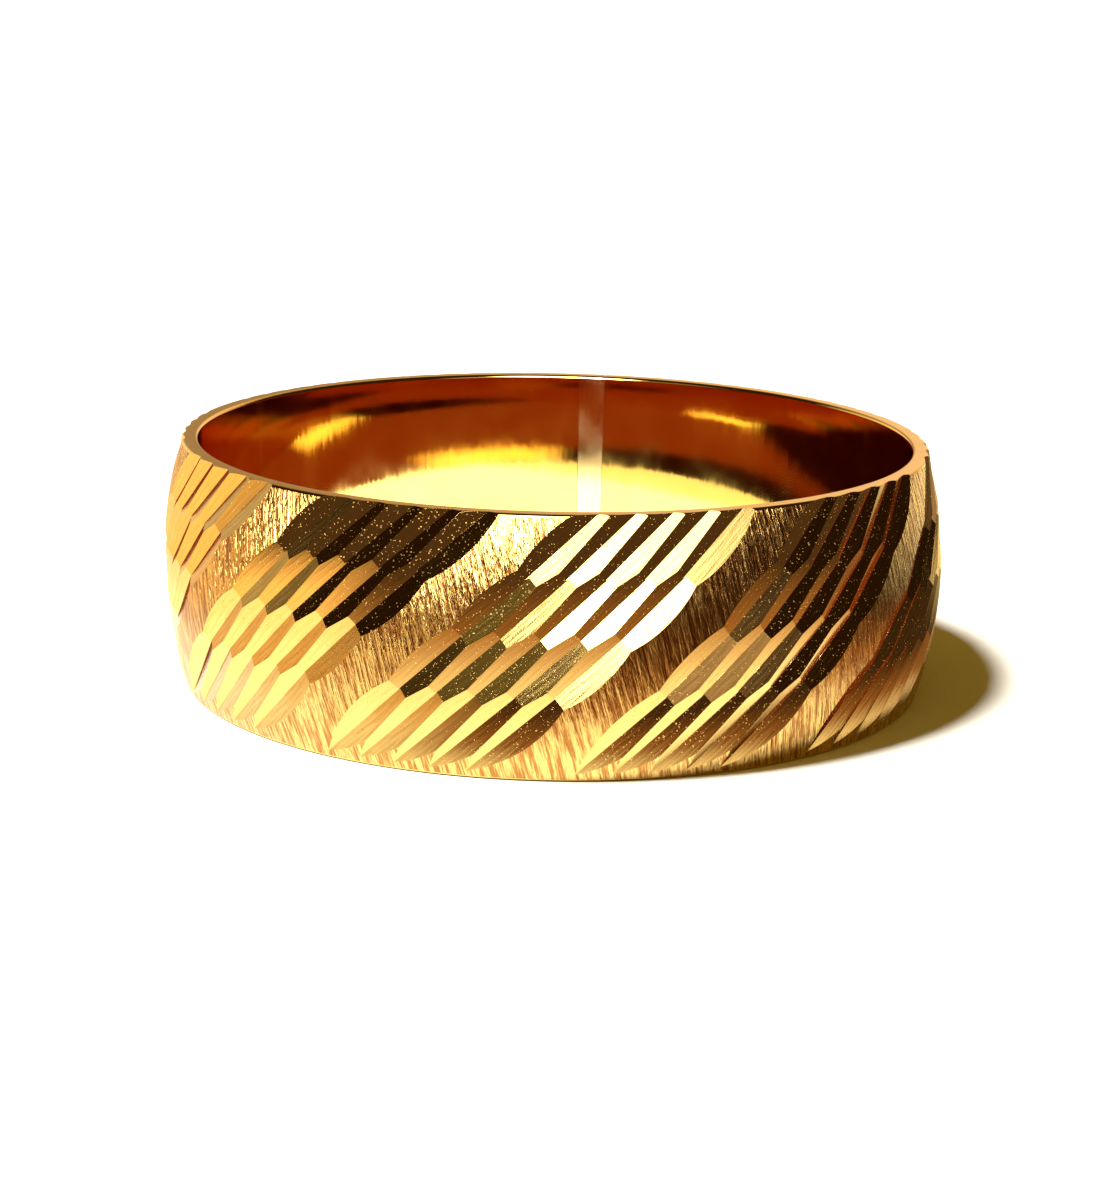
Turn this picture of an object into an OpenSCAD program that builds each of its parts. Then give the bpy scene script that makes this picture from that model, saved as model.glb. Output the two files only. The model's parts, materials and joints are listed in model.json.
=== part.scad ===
/* [Finger size] */
// Bore that goes round the finger
bore_d = 17.5; // [14:0.1:22]

/* [Band section] */
// Width of the band along the finger
band_w = 6; // [4.8:0.1:8]
// Wall at the crown of the dome
crown_t = 0.85; // [0.7:0.01:1.5]
// Wall at each rim
rim_t = 0.4; // [0.3:0.01:0.5]
// Rounding along the inner and outer edge of each rim
edge_r = 0.08; // [0.04:0.01:0.12]

/* [Bright cuts] */
// Groups of cuts round the band
groups = 10; // [6:1:12]
// Cuts side by side in each group
cuts = 5; // [3:1:6]
// Rows of cuts across the width
rows = 4; // [3:1:5]
// Slant of the cuts away from the axis of the ring
cut_slant = 47; // [30:1:55]
// Spacing of neighbouring cuts, square to their run
cut_pitch = 0.6; // [0.4:0.01:0.8]
// Plain metal between the lower rim and the rows of cuts
plain_below = 0.62; // [0.4:0.01:1]
// Plain metal between the rows of cuts and the upper rim
plain_above = 0.02; // [0:0.01:0.6]
// Depth of a cut at the middle of its run
cut_depth = 0.145; // [0.08:0.005:0.18]
// Tilt of the upper left flank of each cut from the surface
upper_flank = 18; // [12:0.5:30]
// Tilt of the lower right flank of each cut from the surface
lower_flank = 17; // [12:0.5:30]
// Turn of the middle of the first group about the axis
first_group = -93.3; // [-180:0.1:180]

/* [Solder joint] */
// Width of the solder that closes the band
seam_w = 0.7; // [0.2:0.05:1]
// Turn of the solder joint about the axis
seam_turn = 83.6; // [0:0.1:180]

/* [Hidden] */
$fn = 180;

// How far a cutting tool stands clear of the metal it doesn't touch
overrun = 0.2;
bore_r = bore_d / 2;
crown_r = bore_r + crown_t;
half_w = band_w / 2;
// The dome is one arc from rim to rim, which falls from the crown to the rim wall
dome_drop = crown_t - rim_t;
dome_r = (half_w * half_w + dome_drop * dome_drop) / (2 * dome_drop);
dome_axis = crown_r - dome_r;
// Centre of the rounding between the dome and a rim, tangent to both
shoulder = [
    dome_axis + sqrt(pow(dome_r - edge_r, 2) - pow(half_w - edge_r, 2)),
    half_w - edge_r
];
shoulder_out = (shoulder - [dome_axis, 0]) / (dome_r - edge_r);
bore_edge = [bore_r + edge_r, half_w - edge_r];
// The rows share the width that the two plain margins leave
row_pitch = (band_w - plain_below - plain_above) / rows;

// The sharp corner that a rounding takes away: centre is the rounding's own centre,
// and out points from it square to the wall that the rounding runs into.
module sharp_corner(centre, out) {
    reach = 2 * edge_r;
    up = [0, reach];
    translate(centre)
        difference() {
            polygon([[0, 0], out * reach, out * reach + up, up]);
            circle(r = edge_r);
        }
}

// Half of the wall on the plane through the axis: radius along x, width along y
module section() {
    difference() {
        intersection() {
            translate([bore_r, -half_w]) square([crown_t, band_w]);
            translate([dome_axis, 0]) circle(r = dome_r);
        }
        for (side = [0, 1])
            mirror([0, side]) {
                sharp_corner(shoulder, shoulder_out);
                sharp_corner(bore_edge, [-1, 0]);
            }
    }
}

// The plain D-section ring before it is cut and jointed
module blank() {
    rotate_extrude() section();
}

// The metal taken by one pass of a V-shaped diamond, on a straight run that touches
// the dome at its middle and so leaves the metal at both ends
module bright_cut(turn, rise) {
    lean = asin(rise / dome_r);
    run = 2.4 * sqrt(2 * dome_r * cut_depth);
    flank_h = cut_depth + overrun;
    rotate([0, 0, turn])
        translate([dome_axis + dome_r * cos(lean), 0, rise])
            rotate([-cut_slant, -lean, 0])
                linear_extrude(height = run, center = true)
                    polygon([
                        [-cut_depth, 0],
                        [overrun, -flank_h / tan(upper_flank)],
                        [overrun, flank_h / tan(lower_flank)]
                    ]);
}

// Every group keeps its cuts in line from row to row along the slant
module bright_cuts() {
    across = cut_pitch / cos(cut_slant);
    for (group = [0 : groups - 1], row = [0 : rows - 1], cut = [0 : cuts - 1]) {
        rise = plain_below - half_w + (row + 0.5) * row_pitch;
        shift = (cut - (cuts - 1) / 2) * across + rise * tan(cut_slant);
        turn = first_group + group * 360 / groups + shift / crown_r * 180 / PI;
        bright_cut(turn, rise);
    }
}

// The gap between the two ends of the bent strip
module joint_gap() {
    rotate([0, 0, seam_turn])
        translate([bore_r - overrun, -seam_w / 2, -half_w - overrun])
            cube([crown_t + 2 * overrun, seam_w, band_w + 2 * overrun]);
}

module band() {
    color("goldenrod")
        difference() {
            blank();
            bright_cuts();
            joint_gap();
        }
}

module solder_seam() {
    color("khaki")
        difference() {
            intersection() {
                blank();
                joint_gap();
            }
            bright_cuts();
        }
}

band();
solder_seam();
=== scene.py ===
import json
import math

import bpy
import numpy as np
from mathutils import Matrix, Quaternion, Vector

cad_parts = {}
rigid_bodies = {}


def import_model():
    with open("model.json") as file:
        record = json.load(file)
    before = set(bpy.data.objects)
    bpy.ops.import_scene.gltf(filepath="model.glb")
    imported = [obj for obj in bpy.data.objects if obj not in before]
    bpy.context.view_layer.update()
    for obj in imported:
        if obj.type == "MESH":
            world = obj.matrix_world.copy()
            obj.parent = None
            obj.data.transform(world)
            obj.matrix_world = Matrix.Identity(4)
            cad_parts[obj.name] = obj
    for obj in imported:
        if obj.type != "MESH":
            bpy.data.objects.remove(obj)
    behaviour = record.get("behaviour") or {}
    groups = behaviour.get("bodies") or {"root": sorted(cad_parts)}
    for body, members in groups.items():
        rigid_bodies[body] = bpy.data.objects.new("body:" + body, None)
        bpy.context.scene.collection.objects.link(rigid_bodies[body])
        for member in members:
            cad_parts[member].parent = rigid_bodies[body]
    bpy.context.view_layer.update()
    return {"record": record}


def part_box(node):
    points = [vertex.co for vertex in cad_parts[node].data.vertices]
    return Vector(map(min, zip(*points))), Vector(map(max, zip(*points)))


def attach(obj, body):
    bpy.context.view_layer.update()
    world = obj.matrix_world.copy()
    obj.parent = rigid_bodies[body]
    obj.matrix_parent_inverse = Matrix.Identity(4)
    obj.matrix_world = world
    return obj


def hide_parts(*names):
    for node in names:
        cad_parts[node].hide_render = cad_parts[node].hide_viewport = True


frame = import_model()


# Camera. It looks down a little at the front of the band, from about seven outer radii away,
# with a long lens and a slight roll.
MM = 0.001
half_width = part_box("band")[1].z
finger_bore = next(mount for mount in frame["record"]["mounts"] if mount["name"] == "finger_bore")
bore_radius = finger_bore["dims"]["r_mm"] * MM
crown_wall = 0.85 * MM
crown_radius = bore_radius + crown_wall
look_at = crown_radius * Vector((0.0113, 0, -0.1272))
camera_elevation = 13.342
camera_distance = 7.008 * crown_radius
camera_roll = math.radians(1.238)


def aim(thing, place, target, roll=0.0):
    """Stands a camera or lamp at a place so that its -Z axis points at the target."""
    turn = (target - place).to_track_quat("-Z", "Y")
    thing.location = place
    thing.rotation_mode = "QUATERNION"
    thing.rotation_quaternion = turn @ Quaternion((0, 0, 1), roll)


def seen_from(azimuth, elevation, distance):
    """A point at a distance from the origin: azimuth 0 is the front, and positive is to the right."""
    az = math.radians(azimuth)
    el = math.radians(elevation)
    return distance * Vector((math.cos(el) * math.sin(az), -math.cos(el) * math.cos(az), math.sin(el)))


camera_data = bpy.data.cameras.new("camera")
camera_data.sensor_width = 36
camera_data.lens = 80.82
camera_data.clip_start = MM
camera_data.clip_end = 10
camera = bpy.data.objects.new("camera", camera_data)
bpy.context.scene.collection.objects.link(camera)
aim(camera, seen_from(0, camera_elevation, camera_distance), look_at, camera_roll)
bpy.context.scene.camera = camera


# Band. A strip of yellow gold with a D section, bent into a ring and jointed with solder. The
# outside is a low dome, brushed along the finger's direction and then cut by a V-shaped diamond
# in ten slanted groups. The bore and the rims are plain and polished.
rim_wall = 0.4 * MM
edge_radius = 0.08 * MM
dome_drop = crown_wall - rim_wall
dome_radius = (half_width**2 + dome_drop**2) / (2 * dome_drop)
dome_axis = crown_radius - dome_radius
steps_around = 720
steps_over_dome = 45
steps_round_edge = 10

groups, rows, cuts = 10, 4, 5
plain_below = 0.62 * MM
plain_above = 0.02 * MM
row_pitch = (2 * half_width - plain_below - plain_above) / rows
cut_pitch = 0.6 * MM
cut_slant = math.radians(47)
cut_depth = 0.145 * MM
first_group = math.radians(-93.3)
upper_tilt = math.radians(18)
lower_tilt = math.radians(17)
tool_clearance = 0.2 * MM
overrun = 1.2

ridge_ease = 0.01 * MM
smooth_below = math.radians(9.5)
ease_above = math.radians(30)

GROUND, POLISHED, UPPER_FLANK, LOWER_FLANK = range(4)


def arc(centre, radius, start, end, count):
    """Points at even turns along a circle in the section plane: centre + radius (cos, sin)."""
    turn = np.linspace(start, end, count)
    return np.asarray(centre) + radius * np.stack([np.cos(turn), np.sin(turn)], -1)


def band_profile():
    """The wall's outline as (radius, height) points, once round, and the finish of each stretch.

    The dome is one arc about (dome_axis, 0). Each rim is two quarter roundings with a flat
    between, and the bore is a straight line.
    """
    inset = half_width - edge_radius
    shoulder = (dome_axis + math.sqrt((dome_radius - edge_radius) ** 2 - inset**2), inset)
    bore_edge = (bore_radius + edge_radius, inset)
    dome_end = math.asin(inset / (dome_radius - edge_radius))
    dome = arc((dome_axis, 0), dome_radius, -dome_end, dome_end, steps_over_dome)
    upper_rim = np.concatenate([
        arc(shoulder, edge_radius, dome_end, math.pi / 2, steps_round_edge)[1:],
        arc(bore_edge, edge_radius, math.pi / 2, math.pi, steps_round_edge + 1),
    ])
    bore_heights = np.linspace(inset, -inset, 7)[1:-1]
    bore = np.stack([np.full_like(bore_heights, bore_radius), bore_heights], -1)
    lower_rim = upper_rim[::-1] * (1, -1)
    outline = np.concatenate([dome, upper_rim, bore, lower_rim])
    finish = np.where(np.arange(len(outline)) < len(dome) - 1, GROUND, POLISHED)
    return outline, finish


def cutting_mesh(name, points, faces, finish):
    """A mesh with a slot for each finish, the finish of every face, and an empty map of the cuts."""
    mesh = bpy.data.meshes.new(name)
    mesh.from_pydata(points, [], faces)
    for _ in (GROUND, POLISHED, UPPER_FLANK, LOWER_FLANK):
        mesh.materials.append(None)
    mesh.polygons.foreach_set("material_index", finish)
    mesh.uv_layers.new(name="cut")
    return mesh


def turned_blank(name):
    """The profile carried round Z: point (radius cos t, radius sin t, height) for each even turn t."""
    outline, finish = band_profile()
    turn = np.arange(steps_around) * 2 * np.pi / steps_around
    points = np.empty((steps_around, len(outline), 3))
    points[..., 0] = np.cos(turn)[:, None] * outline[:, 0]
    points[..., 1] = np.sin(turn)[:, None] * outline[:, 0]
    points[..., 2] = outline[:, 1]
    here, around = np.meshgrid(np.arange(len(outline)), np.arange(steps_around))
    along = (here + 1) % len(outline)
    onward = (around + 1) % steps_around
    corners = [(around, here), (onward, here), (onward, along), (around, along)]
    faces = np.stack([turn_no * len(outline) + place for turn_no, place in corners], -1)
    mesh = cutting_mesh(name, points.reshape(-1, 3), faces.reshape(-1, 4), np.tile(finish, steps_around))
    blank = bpy.data.objects.new(name, mesh)
    bpy.context.scene.collection.objects.link(blank)
    return blank


def diamond_passes(row, cut):
    """Corners of the V prisms of one row and one place in its group, for all groups: (groups, 6, 3).

    Each run is a straight line that touches the dome at its middle, and goes on past the places
    where the cut leaves the dome. The prism's section has its point one cut_depth below the
    dome, and its two flanks rise from there past the surface.
    Also gives half the length of a run and the rise of the flanks.
    """
    height = plain_below - half_width + (row + 0.5) * row_pitch
    across = cut_pitch / math.cos(cut_slant)
    shift = (cut - (cuts - 1) / 2) * across + height * math.tan(cut_slant)
    turn = first_group + np.arange(groups) * 2 * np.pi / groups + shift / crown_radius
    lean = np.full(groups, math.asin(height / dome_radius))
    out = np.stack([np.cos(lean) * np.cos(turn), np.cos(lean) * np.sin(turn), np.sin(lean)], -1)
    onward = np.stack([-np.sin(turn), np.cos(turn), 0 * turn], -1)
    up = np.cross(out, onward)
    run = math.sin(cut_slant) * onward + math.cos(cut_slant) * up
    side = math.cos(cut_slant) * onward - math.sin(cut_slant) * up
    reach = dome_axis + dome_radius * np.cos(lean)
    touch = np.stack([reach * np.cos(turn), reach * np.sin(turn), np.full(groups, height)], -1)
    rise = cut_depth + tool_clearance
    half_run = overrun * math.sqrt(2 * dome_radius * cut_depth)
    section = [
        (-cut_depth, 0),
        (tool_clearance, rise / math.tan(lower_tilt)),
        (tool_clearance, -rise / math.tan(upper_tilt)),
    ]
    ends = [touch + end * half_run * run + o * out + s * side for end in (-1, 1) for o, s in section]
    return np.stack(ends, 1), half_run, rise


def diamond_tool(row, cut):
    """A mesh object of one V prism for each group, whose flanks carry their finish and a map of
    (distance up the flank, distance along the run) in millimetres."""
    corners, half_run, rise = diamond_passes(row, cut)
    first_corner = 6 * np.arange(groups)[:, None]
    end_faces = np.array([(0, 1, 2), (5, 4, 3)])[:, None] + first_corner
    long_faces = np.array([(0, 3, 4, 1), (1, 4, 5, 2), (2, 5, 3, 0)])[:, None] + first_corner
    faces = end_faces.reshape(-1, 3).tolist() + long_faces.reshape(-1, 4).tolist()
    finish = np.repeat([GROUND, GROUND, LOWER_FLANK, GROUND, UPPER_FLANK], groups)
    mesh = cutting_mesh("diamond", corners.reshape(-1, 3), faces, finish)

    low, high = -half_run / MM, half_run / MM
    lower_top = rise / math.sin(lower_tilt) / MM
    upper_top = rise / math.sin(upper_tilt) / MM
    unused_end, unused_top = [(0, 0)] * 3, [(0, 0)] * 4
    lower_map = [(0, low), (0, high), (lower_top, high), (lower_top, low)]
    upper_map = [(upper_top, low), (upper_top, high), (0, high), (0, low)]
    face_maps = [unused_end, unused_end, lower_map, unused_top, upper_map]
    cut_map = np.concatenate([np.tile(face_map, (groups, 1)).ravel() for face_map in face_maps])
    mesh.uv_layers["cut"].data.foreach_set("uv", cut_map)
    return bpy.data.objects.new("diamond", mesh)


def joint_block(name, turn, thickness):
    """A flat block through the wall at one turn, square to the ring: the place of the joint.

    It is a box on the X axis, longer and higher than the wall, turned about Z.
    """
    inner, outer, top = 0.5 * bore_radius, 1.2 * crown_radius, 1.2 * half_width
    low = np.array([inner, -thickness / 2, -top])
    high = np.array([outer, thickness / 2, top])
    corners = low + np.indices((2, 2, 2)).reshape(3, -1).T * (high - low)
    spin = np.array([[math.cos(turn), math.sin(turn), 0], [-math.sin(turn), math.cos(turn), 0], [0, 0, 1]])
    sides = [(0, 1, 3, 2), (4, 6, 7, 5), (0, 4, 5, 1), (2, 3, 7, 6), (0, 2, 6, 4), (1, 5, 7, 3)]
    mesh = cutting_mesh(name, corners @ spin, sides, np.full(len(sides), POLISHED))
    block = bpy.data.objects.new(name, mesh)
    bpy.context.scene.collection.objects.link(block)
    return block


diamonds = bpy.data.collections.new("diamonds")
bpy.context.scene.collection.children.link(diamonds)
for row in range(rows):
    for cut in range(cuts):
        diamonds.objects.link(diamond_tool(row, cut))


def shaped(name, joint, operation, finishes):
    """Cuts a turned blank with the joint's block and the diamonds, and keeps the result as a mesh.

    The cutters' finishes and maps pass to the faces that they cut. Shallow edges shade smooth,
    and the ridges and valleys between flanks are eased.
    """
    blank = turned_blank(name)
    for worked in [blank, joint, *diamonds.objects]:
        for place, metal in enumerate(finishes):
            worked.data.materials[place] = metal
    at_joint = blank.modifiers.new("joint", "BOOLEAN")
    at_joint.operation = operation
    at_joint.object = joint
    bright = blank.modifiers.new("diamonds", "BOOLEAN")
    bright.operation = "DIFFERENCE"
    bright.operand_type = "COLLECTION"
    bright.collection = diamonds
    for step in (at_joint, bright):
        step.solver = "MANIFOLD"
        step.material_mode = "TRANSFER"
    mesh = bpy.data.meshes.new_from_object(blank.evaluated_get(bpy.context.evaluated_depsgraph_get()))
    mesh.polygons.foreach_set("use_smooth", np.full(len(mesh.polygons), True))
    mesh.set_sharp_from_angle(angle=smooth_below)
    mesh.name = name
    blank.modifiers.clear()
    blank.data = mesh
    eased = blank.modifiers.new("eased ridges", "BEVEL")
    eased.width = ridge_ease
    eased.segments = 2
    eased.limit_method = "ANGLE"
    eased.angle_limit = ease_above
    return blank


class Nodes:
    """A short way to build one shader tree: values are set on sockets, and sockets are linked."""

    def __init__(self, tree):
        self.tree = tree

    def join(self, value, socket):
        if isinstance(value, bpy.types.NodeSocket):
            self.tree.links.new(value, socket)
        else:
            socket.default_value = value

    def add(self, kind, inputs=(), **settings):
        node = self.tree.nodes.new("ShaderNode" + kind)
        for key, value in settings.items():
            setattr(node, key, value)
        for key, value in dict(inputs).items():
            self.join(value, node.inputs[key])
        return node

    def math(self, operation, *values):
        return self.add("Math", enumerate(values), operation=operation).outputs[0]

    def vector(self, operation, *values):
        return self.add("VectorMath", enumerate(values), operation=operation).outputs["Vector"]

    def facing(self, one, other):
        """The cosine of the angle between two directions of length 1."""
        return self.add("VectorMath", {0: one, 1: other}, operation="DOT_PRODUCT").outputs["Value"]

    def scaled(self, vector, amount):
        return self.add("VectorMath", {0: vector, "Scale": amount}, operation="SCALE").outputs["Vector"]

    def ramp(self, value, start, end, low=0.0, high=1.0, shape="LINEAR"):
        """Goes from low to high while the value goes from start to end, and stays there outside."""
        inputs = {0: value, 1: start, 2: end, 3: low, 4: high}
        return self.add("MapRange", inputs, interpolation_type=shape).outputs[0]

    def blend(self, amount, none, full):
        """The colour none where the amount is 0 and full where it is 1."""
        return self.add("Mix", {0: amount, 6: none, 7: full}, data_type="RGBA").outputs[2]

    def part(self, group, **inputs):
        """A node of a shared group, with its own values. Gives the group's outputs."""
        return self.add("Group", inputs, node_tree=group).outputs


def new_group(name, inputs, outputs):
    """An empty shader node group of numbers: its tree, and the sockets inside it by name."""
    tree = bpy.data.node_groups.new(name, "ShaderNodeTree")
    for label in inputs:
        tree.interface.new_socket(label, in_out="INPUT", socket_type="NodeSocketFloat")
    for label in outputs:
        tree.interface.new_socket(label, in_out="OUTPUT", socket_type="NodeSocketFloat")
    given = tree.nodes.new("NodeGroupInput").outputs
    made = tree.nodes.new("NodeGroupOutput").inputs
    return tree, Nodes(tree), given, made


def brush_strokes():
    """Group: fine scratches along Z that lean a little, drawn round the ring without a seam.

    The point is turned about Z in proportion to its height, brought to the unit circle, and
    stretched so that a noise has Fineness cells per millimetre around and Length along.
    """
    tree, nodes, given, made = new_group(
        "brush_strokes", ["Fineness", "Length", "Lean"], ["Strokes", "Patches"]
    )
    spot = nodes.add("TexCoord").outputs["Object"]
    height = nodes.add("SeparateXYZ", {0: spot}).outputs["Z"]
    lean = nodes.math("MULTIPLY", height, given["Lean"])
    turned = nodes.add("VectorRotate", {"Vector": spot, "Angle": lean}, rotation_type="Z_AXIS").outputs[0]
    ring = nodes.vector("NORMALIZE", nodes.vector("MULTIPLY", turned, (1, 1, 0)))
    around = nodes.scaled(nodes.scaled(ring, crown_radius / MM), given["Fineness"])
    along = nodes.math("DIVIDE", nodes.math("MULTIPLY", height, 1 / MM), given["Length"])
    where = nodes.vector("ADD", around, nodes.add("CombineXYZ", {"Z": along}).outputs[0])
    strokes = nodes.add("TexNoise", {"Vector": where, "Scale": 1, "Detail": 3, "Roughness": 0.65})
    patches = nodes.add("TexNoise", {"Vector": spot, "Scale": 1.1 / MM, "Detail": 2})
    nodes.join(strokes.outputs[0], made["Strokes"])
    nodes.join(patches.outputs[0], made["Patches"])
    return tree


def fine_grain():
    """Group: the crumbly grain that a dragging edge leaves, and its rare specks, Grain to a
    millimetre."""
    tree, nodes, given, made = new_group("fine_grain", ["Grain"], ["Height", "Specks"])
    in_mm = nodes.scaled(nodes.add("TexCoord").outputs["Object"], 1 / MM)
    grain = nodes.add("TexNoise", {"Vector": in_mm, "Scale": given["Grain"], "Detail": 2})
    cells = nodes.add("TexVoronoi", {"Vector": in_mm, "Scale": given["Grain"]})
    lot = nodes.add("SeparateColor", {0: cells.outputs["Color"]}).outputs[0]
    nodes.join(grain.outputs[0], made["Height"])
    nodes.join(nodes.ramp(lot, 0.972, 0.98), made["Specks"])
    return tree


def tool_lines():
    """Group: faint lines along a cut's run, read from its own map, Fineness to a millimetre."""
    tree, nodes, given, made = new_group("tool_lines", ["Fineness"], ["Lines"])
    up_and_along = nodes.add("SeparateXYZ", {0: nodes.add("UVMap", uv_map="cut").outputs[0]})
    up = nodes.math("MULTIPLY", up_and_along.outputs[0], given["Fineness"])
    where = nodes.add("CombineXYZ", {0: up, 1: up_and_along.outputs[1]}).outputs[0]
    lines = nodes.add("TexNoise", {"Vector": where, "Scale": 1, "Detail": 2})
    nodes.join(lines.outputs[0], made["Lines"])
    return tree


strokes_group = brush_strokes()
grain_group = fine_grain()
lines_group = tool_lines()


def metal_finish(name, surface):
    """A material of bare metal. surface(nodes) gives its colour, roughness, height and relief."""
    material = bpy.data.materials.new(name)
    material.use_nodes = True
    nodes = Nodes(material.node_tree)
    shader = material.node_tree.nodes["Principled BSDF"]
    shader.inputs["Metallic"].default_value = 1
    colour, rough, height, relief = surface(nodes)
    bump = nodes.add("Bump", {"Height": height, "Distance": relief, "Strength": 1}).outputs[0]
    nodes.join(colour, shader.inputs["Base Color"])
    nodes.join(rough, shader.inputs["Roughness"])
    nodes.join(bump, shader.inputs["Normal"])
    return material


def brushed(name, crest, painted_furrow_shade):
    """Brushed ground: strokes as relief, with the metal's colour along their crests and painted shade, a
    darker colour, in their furrows.
    """
    def surface(nodes):
        strokes, patches = nodes.part(strokes_group, Fineness=11, Length=0.9, Lean=25)
        colour = nodes.blend(nodes.ramp(strokes, 0.42, 0.56), painted_furrow_shade, crest)
        rough = nodes.ramp(patches, 0.3, 0.7, 0.12, 0.22)
        relief = 0.08 * MM
        return colour, rough, strokes, relief
    return metal_finish(name, surface)


def polished(name, light, dark, smooth, worn):
    """Polished bore and rims: nearly a mirror, with the faint long scratches of wear."""
    def surface(nodes):
        strokes, patches = nodes.part(strokes_group, Fineness=1.4, Length=5, Lean=0)
        colour = nodes.blend(patches, dark, light)
        rough = nodes.ramp(patches, 0.3, 0.7, smooth, worn)
        relief = 0.006 * MM
        return colour, rough, strokes, relief
    return metal_finish(name, surface)


def bright_cut(name, light, dark, smooth, coarse, grain):
    """A flank of a diamond cut: tool lines along its run, a fine grain, and rare dull specks."""
    def surface(nodes):
        lines = nodes.part(lines_group, Fineness=14)["Lines"]
        crumbs, specks = nodes.part(grain_group, Grain=44)
        tone = nodes.ramp(lines, 0.3, 0.7)
        colour = nodes.blend(tone, dark, light)
        even = nodes.ramp(tone, 0, 1, smooth, coarse)
        rough = nodes.ramp(specks, 0, 1, even, 0.6)
        height = nodes.math("MULTIPLY_ADD", crumbs, grain, lines)
        relief = 0.002 * MM
        return colour, rough, height, relief
    return metal_finish(name, surface)


gold, deep_gold = (1.0, 0.72, 0.24, 1), (0.9, 0.56, 0.16, 1)
# The furrow colour is painted shade: the brushed gold darkened in its strokes' furrows.
gold_crest, gold_painted_furrow_shade = (1.0, 0.68, 0.22, 1), (0.48, 0.22, 0.055, 1)
# The lower flanks' colours are darker than the upper flanks' though the metal is the same: painted shade.
# Their duller grain is in the roughness and relief.
lower_flank_shaded_gold, deep_lower_flank_shaded_gold = (0.68, 0.46, 0.15, 1), (0.46, 0.28, 0.08, 1)
joint_turn = math.radians(83.6)
joint_width = 0.7 * MM
joint_gap = joint_block("joint gap", joint_turn, joint_width)
gold_band = shaped("gold_band", joint_gap, "DIFFERENCE", [
    brushed("brushed gold", gold_crest, gold_painted_furrow_shade),
    polished("polished gold", gold, deep_gold, 0.03, 0.08),
    bright_cut("upper flank gold", gold, deep_gold, 0.05, 0.1, 0.2),
    bright_cut("lower flank gold", lower_flank_shaded_gold, deep_lower_flank_shaded_gold, 0.06, 0.14, 0.4),
])
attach(gold_band, "root")
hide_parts("band")


# Solder seam. Hard solder run between the two ends of the strip, filed and cut with the band
# afterwards. It is a paler alloy, and a hairline shows along each side of it.
solder, deep_solder = (1.0, 0.84, 0.55, 1), (0.9, 0.62, 0.3, 1)
# The furrow colour is painted shade: the brushed solder darkened in its strokes' furrows.
solder_painted_furrow_shade = (0.55, 0.32, 0.14, 1)
# The lower flanks' solder colours are darker than the upper flanks' though the metal is the same: painted
# shade.
lower_flank_shaded_solder, deep_lower_flank_shaded_solder = (0.7, 0.55, 0.34, 1), (0.5, 0.36, 0.2, 1)
hairline = 0.012 * MM
joint_fill = joint_block("joint fill", joint_turn, joint_width - 2 * hairline)
solder_strip = shaped("solder_strip", joint_fill, "INTERSECT", [
    brushed("brushed solder", solder, solder_painted_furrow_shade),
    polished("polished solder", solder, deep_solder, 0.07, 0.15),
    bright_cut("upper flank solder", solder, deep_solder, 0.05, 0.1, 0.2),
    bright_cut("lower flank solder", lower_flank_shaded_solder, deep_lower_flank_shaded_solder, 0.06, 0.14, 0.4),
])
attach(solder_strip, "root")
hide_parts("solder_seam")

for tool in [joint_gap, joint_fill, *diamonds.objects]:
    bpy.data.objects.remove(tool)
bpy.data.collections.remove(diamonds)


# Floor. A plain pale table top under the lower rim. To the first reflection in polished metal its
# colour carries painted shade: bright close to the ring and on the left, dim further out in front
# and on the right. It carries a painted glow inside the ring and behind it on the right, though it
# is no lamp. Later reflections see it in a painted ember shade.
floor_reach = 0.6
pale, painted_amber_shade, painted_dusk_shade = (0.93, 0.92, 0.87, 1), (0.72, 0.5, 0.28, 1), (0.23, 0.115, 0.05, 1)
painted_night_shade, painted_ember_shade = (0.04, 0.024, 0.015, 1), (0.15, 0.038, 0.015, 1)
corner_signs = np.array([(-1, -1), (1, -1), (1, 1), (-1, 1)])
floor_corners = np.column_stack([corner_signs * floor_reach, np.full(4, -half_width)])
floor_mesh = bpy.data.meshes.new("floor")
floor_mesh.from_pydata(floor_corners, [], [(0, 1, 2, 3)])
floor = bpy.data.objects.new("floor", floor_mesh)
bpy.context.scene.collection.objects.link(floor)
paper = bpy.data.materials.new("paper")
paper.use_nodes = True
# Not sampled as a lamp, because its painted glow depends on how often the ray was reflected.
paper.cycles.emission_sampling = "NONE"
floor_mesh.materials.append(paper)
nodes = Nodes(paper.node_tree)
level = nodes.vector("MULTIPLY", nodes.add("TexCoord").outputs["Object"], (1, 1, 0))
distance = nodes.add("VectorMath", {0: level}, operation="LENGTH").outputs["Value"]
ahead = nodes.vector("NORMALIZE", level)


def ground(near, far, azimuth, least, most):
    """How much a spot lies past near to far millimetres out, and toward an azimuth.

    Least and most are the cosines of its angle from that azimuth where the effect starts and
    where it is full.
    """
    out = nodes.ramp(distance, near * MM, far * MM)
    side = nodes.facing(ahead, seen_from(azimuth, 0, 1))
    return nodes.math("MULTIPLY", out, nodes.ramp(side, least, most, shape="SMOOTHSTEP"))


ray = nodes.add("LightPath").outputs
mirrored = ray["Is Glossy Ray"]
later = nodes.math("GREATER_THAN", ray["Glossy Depth"], 1.5)
first = nodes.math("SUBTRACT", 1, later)
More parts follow.
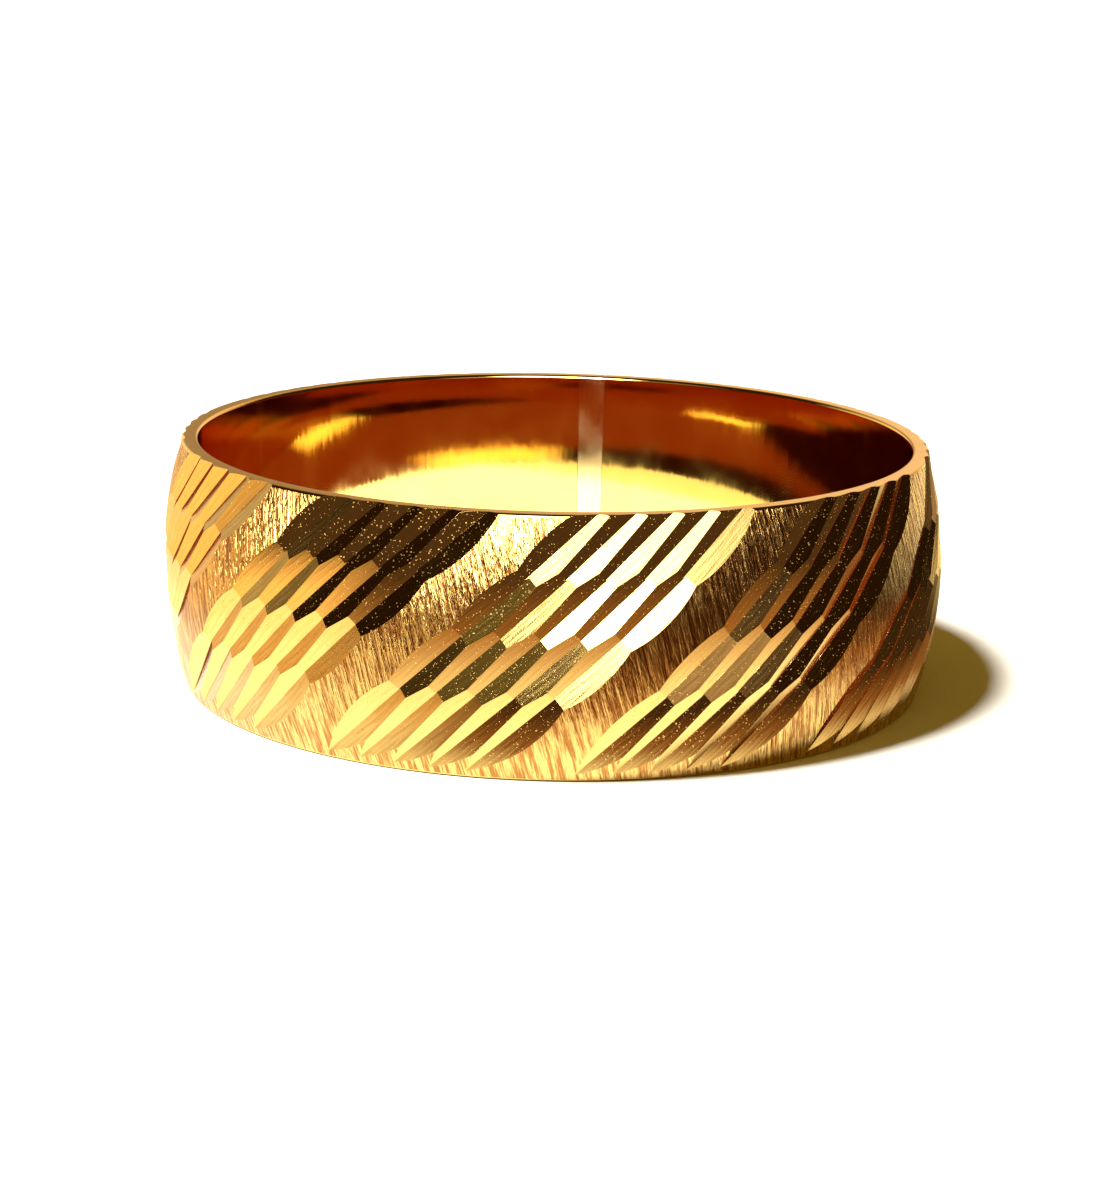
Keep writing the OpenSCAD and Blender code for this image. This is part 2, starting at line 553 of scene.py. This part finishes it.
# What reflections see of the floor is painted shade: amber further out, dusk to the front right, night
# beyond, and an ember colour after more than one reflection.
painted_darkest_shade = nodes.math("MAXIMUM", ground(13.5, 17.5, 30, 0.35, 0.6), ground(16.8, 19, 30, -0.45, 0))
floor_colour_with_painted_shade = nodes.blend(nodes.math("MULTIPLY", mirrored, nodes.ramp(distance, 11 * MM, 16 * MM)), pale, painted_amber_shade)
floor_colour_with_painted_shade = nodes.blend(nodes.math("MULTIPLY", mirrored, ground(10, 13, 45, 0.12, 0.4)), floor_colour_with_painted_shade, painted_dusk_shade)
floor_colour_with_painted_shade = nodes.blend(nodes.math("MULTIPLY", mirrored, painted_darkest_shade), floor_colour_with_painted_shade, painted_night_shade)
floor_colour_with_painted_shade = nodes.blend(later, floor_colour_with_painted_shade, painted_ember_shade)

# The painted glow, emission though the floor is no lamp: inside the ring once, by its front wall again but
# fainter, and behind it once.
inside = nodes.math("MULTIPLY", mirrored, nodes.math("LESS_THAN", distance, bore_radius))
by_front_wall = nodes.math("MULTIPLY", later, ground(6.4, 7, 32, 0.75, 0.95))
fainter = nodes.ramp(ray["Glossy Depth"], 2, 3, 1.6, 0.12)
later_painted_glow = nodes.math("MULTIPLY", by_front_wall, fainter)
behind = nodes.math("MULTIPLY", nodes.math("MULTIPLY", mirrored, first), ground(9, 10, 150, 0.75, 0.95))
painted_glow = nodes.math("MULTIPLY_ADD", inside, later_painted_glow, nodes.math("MULTIPLY", inside, first))
painted_glow = nodes.math("MULTIPLY_ADD", behind, 0.6, painted_glow)

shader = paper.node_tree.nodes["Principled BSDF"]
shader.inputs["Roughness"].default_value = 0.9
shader.inputs["Specular IOR Level"].default_value = 0
# The colour of the floor's painted glow.
shader.inputs["Emission Color"].default_value = (1.5, 1.45, 0.85, 1)
nodes.join(floor_colour_with_painted_shade, shader.inputs["Base Color"])
nodes.join(painted_glow, shader.inputs["Emission Strength"])


# Light. A sun high on the front left throws the shadow, and metal doesn't see it. What metal
# sees is a bright window in front and a dim room, which turns to embers after one reflection.
# The room is white to the camera, and fills shadows with a dull yellow.
sun_azimuth, sun_elevation = -62, 64
lamp_data = bpy.data.lights.new("sun", "SUN")
lamp_data.angle = math.radians(10)
lamp_data.energy = 6.2
lamp_data.color = (1, 0.97, 0.9)
lamp = bpy.data.objects.new("sun", lamp_data)
lamp.visible_glossy = False
bpy.context.scene.collection.objects.link(lamp)
aim(lamp, seen_from(sun_azimuth, sun_elevation, 1), Vector((0, 0, 0)))

world = bpy.data.worlds.new("room")
world.use_nodes = True
# Not sampled as a lamp either, for the same reason.
world.cycles.sampling_method = "NONE"
bpy.context.scene.world = world
nodes = Nodes(world.node_tree)
look = nodes.add("TexCoord").outputs["Generated"]


def patch_of_light(azimuth, elevation, full, gone, colour):
    """A round patch of the room: its colour within full degrees of a direction, fading until gone."""
    toward = nodes.facing(look, seen_from(azimuth, elevation, 1))
    edge, middle = math.cos(math.radians(gone)), math.cos(math.radians(full))
    return nodes.scaled(colour, nodes.ramp(toward, edge, middle, shape="SMOOTHSTEP"))


room = (0.03, 0.015, 0.006)
for patch in (
    patch_of_light(-3, 32, 16, 27, (7, 6.9, 6.6)),
    patch_of_light(-12, 20, 10, 18, (13, 12.9, 12.5)),
    patch_of_light(-35, 12, 5, 30, (0.22, 0.2, 0.1)),
    patch_of_light(20, 5, 8, 25, (0.7, 0.55, 0.45)),
    patch_of_light(-135, 0, 10, 40, (0.9, 0.75, 0.45)),
    patch_of_light(155, 12, 10, 32, (0.7, 0.5, 0.3)),
    patch_of_light(180, 20, 10, 45, (0.36, 0.24, 0.12)),
):
    room = nodes.vector("ADD", room, patch)
ray = nodes.add("LightPath").outputs
embers = nodes.vector("ADD", nodes.vector("MULTIPLY", room, (0.3, 0.13, 0.06)), (0.13, 0.035, 0.015))
room = nodes.blend(nodes.math("GREATER_THAN", ray["Glossy Depth"], 1.5), room, embers)
shadow_fill = (0.19, 0.12, 0.015, 1)
room = nodes.blend(nodes.math("GREATER_THAN", ray["Diffuse Depth"], 0.5), room, shadow_fill)
room = nodes.blend(ray["Is Camera Ray"], room, (1.1, 1.1, 1.08, 1))
nodes.join(room, world.node_tree.nodes["Background"].inputs["Color"])

# The polished bore mirrors itself many times over, and its sides go black if that is cut short.
bpy.context.scene.cycles.glossy_bounces = 12
bpy.context.scene.view_settings.view_transform = "Standard"
